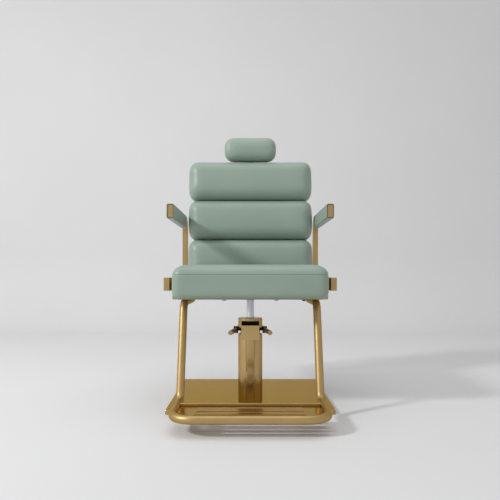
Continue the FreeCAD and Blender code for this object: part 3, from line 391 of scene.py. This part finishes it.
def pick(piece, kind, test):
    """Opens the piece for editing, with only the faces or edges selected that pass the test."""
    select_only(piece)
    bpy.ops.object.mode_set(mode="EDIT")
    bpy.ops.mesh.select_mode(type=kind)
    bpy.ops.mesh.select_all(action="DESELECT")
    bpy.ops.object.mode_set(mode="OBJECT")
    mesh = piece.data
    for element in mesh.edges if kind == "EDGE" else mesh.polygons:
        element.select = test([mesh.vertices[index].co for index in element.vertices])
    bpy.ops.object.mode_set(mode="EDIT")


def close_edit():
    bpy.ops.object.mode_set(mode="OBJECT")


def apply_modifier(piece, kind, **settings):
    """Adds a modifier with its settings and applies it at once."""
    select_only(piece)
    modifier = piece.modifiers.new(kind.title(), kind)
    for name, value in settings.items():
        setattr(modifier, name, value)
    bpy.ops.object.modifier_apply(modifier=modifier.name)


def place_piece(piece, matrix):
    """Puts the piece in its place on the chair, and the place into its mesh."""
    piece.matrix_world = matrix
    select_only(piece)
    bpy.ops.object.transform_apply(location=True, rotation=True, scale=True)


def bevel_uprights(piece, radius, steps):
    """Rounds the four upright corners of a block."""
    pick(piece, "EDGE", lambda ends: abs(ends[0].x - ends[1].x) < touch
         and abs(ends[0].y - ends[1].y) < touch)
    bpy.ops.mesh.bevel(offset=radius, segments=steps, affect="EDGES")
    close_edit()


def round_end(piece, size, level, run, rise, steps):
    """Extrudes the end face at a level and draws it in, step by step, along a quarter ellipse."""
    pick(piece, "FACE", lambda corners: all(abs(corner.z - level) < touch for corner in corners))
    drawn_in = 0.0
    risen = 0.0
    for step in range(1, steps + 1):
        turn = math.radians(90 * step / steps)
        next_in = run * (1 - math.cos(turn))
        next_rise = rise * math.sin(turn)
        lift = (0, 0, next_rise - risen)
        bpy.ops.mesh.extrude_region_move(TRANSFORM_OT_translate={"value": lift})
        bpy.ops.transform.resize(value=((size.x / 2 - next_in) / (size.x / 2 - drawn_in),
                                        (size.y / 2 - next_in) / (size.y / 2 - drawn_in), 1),
                                 center_override=(0, 0, 0))
        drawn_in = next_in
        risen = next_rise
    close_edit()


def raise_crown(piece, size, level, run, height, steep=0.6, flat=0.5):
    """Lifts the flat that is left on a cushion's top into a low crown, steeper at first."""
    pick(piece, "FACE", lambda corners: all(abs(corner.z - level) < touch for corner in corners))
    left = min(size.x, size.y) / 2 - run
    for lift, share in ((height * steep, 1 - steep), (height * (1 - steep), flat)):
        bpy.ops.mesh.extrude_region_move(TRANSFORM_OT_translate={"value": (0, 0, lift)})
        drawn = left * share
        bpy.ops.transform.resize(value=((size.x / 2 - run - drawn) / (size.x / 2 - run),
                                        (size.y / 2 - run - drawn) / (size.y / 2 - run), 1),
                                 center_override=(0, 0, 0))
        run += drawn
        left -= drawn
    close_edit()


def cushion_block(name, size, corner, foot, run, rise, crown):
    """A cushion's sewn shape, lying at the origin with its face up: a rounded foot, upright sides
    with rounded corners, a domed edge that falls away over run and rise, and a low crown."""
    corner_steps = 8
    dome_steps = 8
    foot_steps = 4
    shoulder = size.z - crown - rise
    flat = Vector((size.x / 2, size.y / 2, 0))
    block = add_block(name, Vector((0, 0, foot)) - flat, Vector((0, 0, shoulder)) + flat)
    bevel_uprights(block, corner, corner_steps)
    round_end(block, size, shoulder, run, rise, dome_steps)
    raise_crown(block, size, shoulder + rise, run, crown)
    round_end(block, size, foot, foot, -foot, foot_steps)
    return block


def swell_foam(piece, voxel, swell, held_below, pressure=4.0, frames=20, smoothing=12):
    """Lets the foam push the leather out as cloth under pressure, no further than swell.

    Below held_below the leather is stapled to its board and stays put."""
    apply_modifier(piece, "REMESH", mode="VOXEL", voxel_size=voxel, use_smooth_shade=True)
    sewn = [vertex.co.copy() for vertex in piece.data.vertices]
    held = piece.vertex_groups.new(name="stapled")
    held.add([index for index, place in enumerate(sewn) if place.z < held_below], 1.0, "ADD")
    cloth = piece.modifiers.new("Cloth", "CLOTH")
    cloth.settings.use_pressure = True
    cloth.settings.uniform_pressure_force = pressure
    cloth.settings.effector_weights.gravity = 0.0
    cloth.settings.vertex_group_mass = held.name
    cloth.point_cache.frame_start = 1
    cloth.point_cache.frame_end = frames
    for moment in range(1, frames + 1):
        bpy.context.scene.frame_set(moment)
    select_only(piece)
    bpy.ops.object.modifier_apply(modifier=cloth.name)
    piece.vertex_groups.clear()
    bpy.context.scene.frame_set(1)
    for vertex, before in zip(piece.data.vertices, sewn):
        move = vertex.co - before
        if move.length > swell:
            vertex.co = before + move * (swell / move.length)
    apply_modifier(piece, "SMOOTH", factor=0.5, iterations=smoothing)
    apply_modifier(piece, "SUBSURF", levels=1, render_levels=1)


def press_seam(piece, level, width, depth):
    """Cuts lines round the cushion at a level and draws them in, deepest in the middle."""
    select_only(piece)
    bpy.ops.object.mode_set(mode="EDIT")
    for share in (-1.0, -0.5, 0.0, 0.5, 1.0):
        bpy.ops.mesh.select_all(action="SELECT")
        bpy.ops.mesh.bisect(plane_co=(0, 0, level + share * width / 2), plane_no=(0, 0, 1))
    close_edit()
    normals = [vertex.normal.copy() for vertex in piece.data.vertices]
    for vertex, normal in zip(piece.data.vertices, normals):
        share = abs(vertex.co.z - level) / (width / 2)
        if share < 1:
            vertex.co -= normal * depth * (1 - share) ** 2
    piece.data.update()


def copy_piece(piece, name):
    copied = piece.copy()
    copied.data = piece.data.copy()
    copied.name = name
    bpy.context.scene.collection.objects.link(copied)
    return copied


def dress(piece, body, *replaced, fill):
    """Gives a leather piece its finish and its body, and hides the solids that it stands for."""
    give_finish(piece, "sage_leather")
    select_only(piece)
    bpy.ops.object.shade_smooth()
    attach(piece, body)
    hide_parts(*replaced)


# The back and headrest lean with the way that the headrest slides.

def back_lean():
    slide = next(joint for joint in frame["joints"] if joint["name"] == "headrest_height")
    return Matrix.Rotation(-math.atan2(slide["axis"][1], slide["axis"][2]), 4, "X")


def leaned_box(node):
    """A solid's lowest and highest corners along the leaning back's own axes."""
    upright = back_lean().inverted()
    places = [upright @ vertex.co for vertex in nodes[node].data.vertices]
    low = Vector([min(place[axis] for place in places) for axis in range(3)])
    high = Vector([max(place[axis] for place in places) for axis in range(3)])
    return low, high


def lay_on_back(piece, node, faces_front=True):
    """Tips a piece made lying at the origin up against the leaning back, where its solid is."""
    low, high = leaned_box(node)
    rear = high.y if faces_front else low.y
    tip = Matrix.Rotation(math.radians(90 if faces_front else -90), 4, "X")
    place = Matrix.Translation(Vector(((low.x + high.x) / 2, rear, (low.z + high.z) / 2)))
    place_piece(piece, back_lean() @ place @ tip)


def size_on_back(node, less):
    """Width, height along the back and thickness of a solid, each side less a margin."""
    low, high = leaned_box(node)
    size = high - low
    return Vector((size.x - 2 * less, size.z - 2 * less, size.y - less))


# Operators, one for each piece or group of like pieces

class CHAIR_OT_finishes(bpy.types.Operator):
    """Give every part of the frame the finish of the real one"""
    bl_idname = "chair.finishes"
    bl_label = "Finishes"

    def execute(self, context):
        make_finishes(context.scene.chair_colours)
        for finish, names in node_finishes.items():
            for name in names:
                give_finish(nodes[name], finish)
        return {"FINISHED"}


class CHAIR_OT_seat(bpy.types.Operator):
    """Upholster the seat with a domed leather top sewn to an upright band"""
    bl_idname = "chair.seat"
    bl_label = "Seat"

    def execute(self, context):
        sizes = context.scene.chair_upholstery
        low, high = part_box("seat_cushion")
        margin = sizes.swell / 2
        size = high - low - Vector((2 * margin, 2 * margin, margin))
        seat = cushion_block("seat_upholstery", size, corner=0.032, foot=0.020,
                             run=0.045, rise=0.036, crown=0.003)
        # The seat is the largest cushion and gets a coarser mesh.
        coarser = 1.2
        swell_foam(seat, sizes.voxel * coarser, sizes.swell, held_below=0.004)
        press_seam(seat, sizes.seat_seam_height - low.z, sizes.seam_width, sizes.seam_depth)
        place_piece(seat, Matrix.Translation(Vector((0, (low.y + high.y) / 2, low.z))))
        dress(seat, "seat", "seat_cushion", "seat_foam", fill=0.9)
        return {"FINISHED"}


class CHAIR_OT_back_rolls(bpy.types.Operator):
    """Upholster the back with three stacked leather rolls"""
    bl_idname = "chair.back_rolls"
    bl_label = "Back rolls"

    def execute(self, context):
        sizes = context.scene.chair_upholstery
        size = size_on_back("back_roll_middle", sizes.swell / 2)
        size.x += sizes.swell + 2 * sizes.roll_bulge
        first = cushion_block("roll", size, corner=0.038, foot=0.010,
                              run=0.042, rise=0.052, crown=0.003)
        swell_foam(first, sizes.voxel, sizes.swell, held_below=0.004)
        replaced = {"bottom": ["back_roll_bottom"], "middle": ["back_roll_middle", "back_foam"],
                    "top": ["back_roll_top"]}
        for level, solids in replaced.items():
            roll = copy_piece(first, "roll_" + level + "_upholstery")
            lay_on_back(roll, solids[0])
            dress(roll, "backrest", *solids, fill=0.9)
        bpy.data.objects.remove(first)
        return {"FINISHED"}


class CHAIR_OT_rear_cover(bpy.types.Operator):
    """Cover the back's rear with a thin padded leather panel"""
    bl_idname = "chair.rear_cover"
    bl_label = "Rear cover"

    def execute(self, context):
        sizes = context.scene.chair_upholstery
        size = size_on_back("back_rear_cover", 0)
        size.x -= 2 * sizes.cover_inset
        corner = 0.034
        corner_steps = 8
        edge_run = 0.020
        edge_rise = 0.013
        edge_steps = 5
        finer = 0.8
        smoothing = 3
        flat = Vector((size.x / 2, size.y / 2, 0))
        panel = add_block("rear_cover_upholstery", -flat, Vector((0, 0, size.z - edge_rise)) + flat)
        bevel_uprights(panel, corner, corner_steps)
        round_end(panel, size, size.z - edge_rise, edge_run, edge_rise, edge_steps)
        apply_modifier(panel, "REMESH", mode="VOXEL", voxel_size=sizes.voxel * finer,
                       use_smooth_shade=True)
        apply_modifier(panel, "SMOOTH", factor=0.5, iterations=smoothing)
        press_seam(panel, size.z / 4, sizes.seam_width, sizes.seam_depth)
        lay_on_back(panel, "back_rear_cover", faces_front=False)
        dress(panel, "backrest", "back_rear_cover", fill=1.0)
        return {"FINISHED"}


class CHAIR_OT_headrest(bpy.types.Operator):
    """Upholster the headrest as a small plump leather pillow"""
    bl_idname = "chair.headrest"
    bl_label = "Headrest"

    def execute(self, context):
        sizes = context.scene.chair_upholstery
        size = size_on_back("headrest_cushion", sizes.swell / 2)
        size.y -= sizes.headrest_gap
        pillow = cushion_block("headrest_upholstery", size, corner=0.040, foot=0.028,
                               run=0.032, rise=0.034, crown=0.003)
        finer = 0.6
        swell_foam(pillow, sizes.voxel * finer, sizes.swell, held_below=0.003)
        place_piece(pillow, Matrix.Translation(Vector((0, -sizes.headrest_gap / 2, 0))))
        lay_on_back(pillow, "headrest_cushion")
        dress(pillow, "headrest", "headrest_cushion", "headrest_foam", fill=0.9)
        return {"FINISHED"}


class CHAIR_OT_arm_pads(bpy.types.Operator):
    """Sew a leather sleeve over each arm, open at its front end, that leaves the rear bend bare"""
    bl_idname = "chair.arm_pads"
    bl_label = "Arm pads"

    def execute(self, context):
        sizes = context.scene.chair_upholstery
        corner = 0.006
        corner_steps = 5
        rim_steps = 2
        rim_angle = math.radians(57)
        low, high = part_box("arm_pad_right")
        high.y -= sizes.bare_bend
        pad = add_block("arm_pad_right_upholstery", low, high)
        pick(pad, "FACE", lambda corners: all(corner.y < low.y + touch for corner in corners))
        bpy.ops.mesh.delete(type="FACE")
        close_edit()
        pick(pad, "EDGE", lambda ends: max(end.y for end in ends) > low.y + touch)
        bpy.ops.mesh.bevel(offset=corner, segments=corner_steps, affect="EDGES")
        close_edit()
        apply_modifier(pad, "SOLIDIFY", thickness=sizes.arm_leather, offset=-1.0,
                       use_even_offset=True)
        apply_modifier(pad, "BEVEL", width=sizes.arm_leather / 2, segments=rim_steps,
                       limit_method="ANGLE", angle_limit=rim_angle)
        mirrored = copy_piece(pad, "arm_pad_left_upholstery")
        place_piece(mirrored, Matrix.Scale(-1, 4, Vector((1, 0, 0))))
        bpy.ops.object.mode_set(mode="EDIT")
        bpy.ops.mesh.select_all(action="SELECT")
        bpy.ops.mesh.normals_make_consistent(inside=False)
        close_edit()
        for piece, node in ((pad, "arm_pad_right"), (mirrored, "arm_pad_left")):
            dress(piece, "seat", node, fill=1.0)
            # Broad faces keep their own direction, so that the gloss turns only at the corners.
            apply_modifier(piece, "WEIGHTED_NORMAL", keep_sharp=True)
        return {"FINISHED"}


class CHAIR_OT_tray_hem(bpy.types.Operator):
    """Roll the top of the footrest tray's rear lip over into a round hem"""
    bl_idname = "chair.tray_hem"
    bl_label = "Tray hem"

    def execute(self, context):
        hem_radius = 0.003
        below_lip_top = 0.0015
        lip_thickness = 0.0016
        # The rounding stops just short of the middle of each face, so that no two edges meet.
        rounding = hem_radius * 0.96
        rounding_steps = 5
        smooth_below = math.radians(40)
        low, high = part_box("tread_tray")
        middle = Vector((0, high.y - lip_thickness / 2, high.z - below_lip_top))
        half = Vector(((high.x - low.x) / 2, hem_radius, hem_radius))
        hem = add_block("tray_hem", middle - half, middle + half)
        pick(hem, "EDGE", lambda ends: abs(ends[0].x - ends[1].x) > hem_radius * 2 + touch)
        bpy.ops.mesh.bevel(offset=rounding, segments=rounding_steps, affect="EDGES")
        close_edit()
        give_finish(hem, "satin_gold_tube")
        select_only(hem)
        bpy.ops.object.shade_smooth_by_angle(angle=smooth_below)
        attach(hem, "seat")
        return {"FINISHED"}


class CHAIR_OT_stage(bpy.types.Operator):
    """Set up the studio: a seamless floor and wall, soft lamps and the camera"""
    bl_idname = "chair.stage"
    bl_label = "Stage"

    def execute(self, context):
        add_sweep(tuple(context.scene.chair_colours.backdrop))
        chair_middle = Vector((0.0, 0.0, 0.5))
        # The key stands off to the left and 30 degrees up; its shadow runs away to the right.
        key_way = Vector((1.5, 0.85, -1.0)).normalized()
        key_distance = 6.0
        above_chair = Vector((0.0, -0.2, 3.5))
        floor_below = Vector((0.0, -0.2, 0.0))
        add_lamp("key_lamp", chair_middle - key_way * key_distance, chair_middle,
                 size=0.7, power=173.0)
        add_lamp("top_lamp", above_chair, floor_below, size=2.5, power=22.0)
        light_room(strength=0.52, seen=0.60)
        add_camera()
        context.scene.view_settings.view_transform = "Standard"
        return {"FINISHED"}


def add_sweep(colour):
    """A paper sweep in one sheet: the floor, a curved rise behind the chair and a wall."""
    reach = 8.0
    floor_back = 2.4
    rise_radius = 0.7
    rise_steps = 16
    wall_height = 6.0
    bpy.ops.object.select_all(action="DESELECT")
    bpy.ops.mesh.primitive_plane_add(size=2 * reach, location=(0, floor_back - reach, 0))
    sweep = bpy.context.object
    sweep.name = "studio_sweep"
    bpy.ops.object.transform_apply(location=True, rotation=True, scale=True)
    pick(sweep, "EDGE", lambda ends: all(end.y > floor_back - touch for end in ends))
    bpy.ops.mesh.spin(steps=rise_steps, angle=math.radians(-90),
                      center=(0, floor_back, rise_radius), axis=(1, 0, 0))
    bpy.ops.mesh.extrude_region_move(TRANSFORM_OT_translate={"value": (0, 0, wall_height)})
    close_edit()
    bpy.ops.object.shade_smooth()
    # Matt white paper, with a tone that drifts a little over less than a metre.
    drift_size = 1 / 1.2
    tree, place = new_finish("backdrop_paper")
    drift = add_node(tree, "ShaderNodeTexNoise",
                     {"Vector": place, "Scale": 1 / drift_size, "Detail": 2.0})
    surface_of(tree, {
        "Base Color": tinted(tree, drift.outputs["Fac"], shade(colour, 0.99), shade(colour, 1.01)),
        "Roughness": 0.75, "IOR": 1.4})
    give_finish(sweep, "backdrop_paper")


def add_lamp(name, place, aim, size, power):
    """A square lamp of that size and power, turned to where it is aimed."""
    turn = (aim - place).to_track_quat("-Z", "Y").to_euler()
    bpy.ops.object.light_add(type="AREA", location=place, rotation=turn)
    lamp = bpy.context.object
    lamp.name = name
    lamp.data.size = size
    lamp.data.energy = power


def light_room(strength, seen):
    """The same plain light from all round; the room shows paler, to the camera and in metal."""
    room = bpy.data.worlds.new("studio")
    bpy.context.scene.world = room
    room.use_nodes = True
    tree = room.node_tree
    tree.nodes.clear()
    ray = add_node(tree, "ShaderNodeLightPath")
    shown = ray.outputs["Is Camera Ray"]
    for kind in ("Is Glossy Ray", "Is Transmission Ray"):
        shown = add_node(tree, "ShaderNodeMath", {0: shown, 1: ray.outputs[kind]},
                         operation="MAXIMUM").outputs["Value"]
    level = add_node(tree, "ShaderNodeMapRange",
                     {"Value": shown, "To Min": strength, "To Max": seen})
    sky = add_node(tree, "ShaderNodeBackground",
                   {"Color": hex_colour("FFFFFF"), "Strength": level.outputs["Result"]})
    add_node(tree, "ShaderNodeOutputWorld", {"Surface": sky.outputs["Background"]})


def add_camera():
    """Level with the seat, in front of the column, through a lens that is raised a little."""
    distance = 2.244
    height = 0.486
    focal_length = 40.0
    sensor_width = 36.0
    sideways_shift = -0.0006
    upward_shift = 0.0518
    bpy.ops.object.camera_add(location=(0.0, -distance, height),
                              rotation=(math.radians(90), 0.0, 0.0))
    camera = bpy.context.object
    camera.name = "camera"
    camera.data.lens = focal_length
    camera.data.sensor_width = sensor_width
    camera.data.shift_x = sideways_shift
    camera.data.shift_y = upward_shift
    bpy.context.scene.camera = camera


class CHAIR_PT_panel(bpy.types.Panel):
    """Lists the steps that dress the chair, and its sizes and colours"""
    bl_idname = "CHAIR_PT_panel"
    bl_label = "Threading chair"
    bl_space_type = "VIEW_3D"
    bl_region_type = "UI"
    bl_category = "Chair"

    def draw(self, context):
        for step in steps:
            self.layout.operator(step.bl_idname)
        for settings in (context.scene.chair_upholstery, context.scene.chair_colours):
            for name in settings.__annotations__:
                self.layout.prop(settings, name)


steps = (CHAIR_OT_finishes, CHAIR_OT_seat, CHAIR_OT_back_rolls, CHAIR_OT_rear_cover,
         CHAIR_OT_headrest, CHAIR_OT_arm_pads, CHAIR_OT_tray_hem, CHAIR_OT_stage)
classes = (ChairUpholstery, ChairColours, *steps, CHAIR_PT_panel)


def register():
    for part in classes:
        bpy.utils.register_class(part)
    bpy.types.Scene.chair_upholstery = PointerProperty(type=ChairUpholstery)
    bpy.types.Scene.chair_colours = PointerProperty(type=ChairColours)


def unregister():
    del bpy.types.Scene.chair_colours
    del bpy.types.Scene.chair_upholstery
    for part in reversed(classes):
        bpy.utils.unregister_class(part)


def main():
    register()
    bpy.ops.chair.finishes()
    bpy.ops.chair.seat()
    bpy.ops.chair.back_rolls()
    bpy.ops.chair.rear_cover()
    bpy.ops.chair.headrest()
    bpy.ops.chair.arm_pads()
    bpy.ops.chair.tray_hem()
    bpy.ops.chair.stage()


if __name__ == "__main__":
    main()
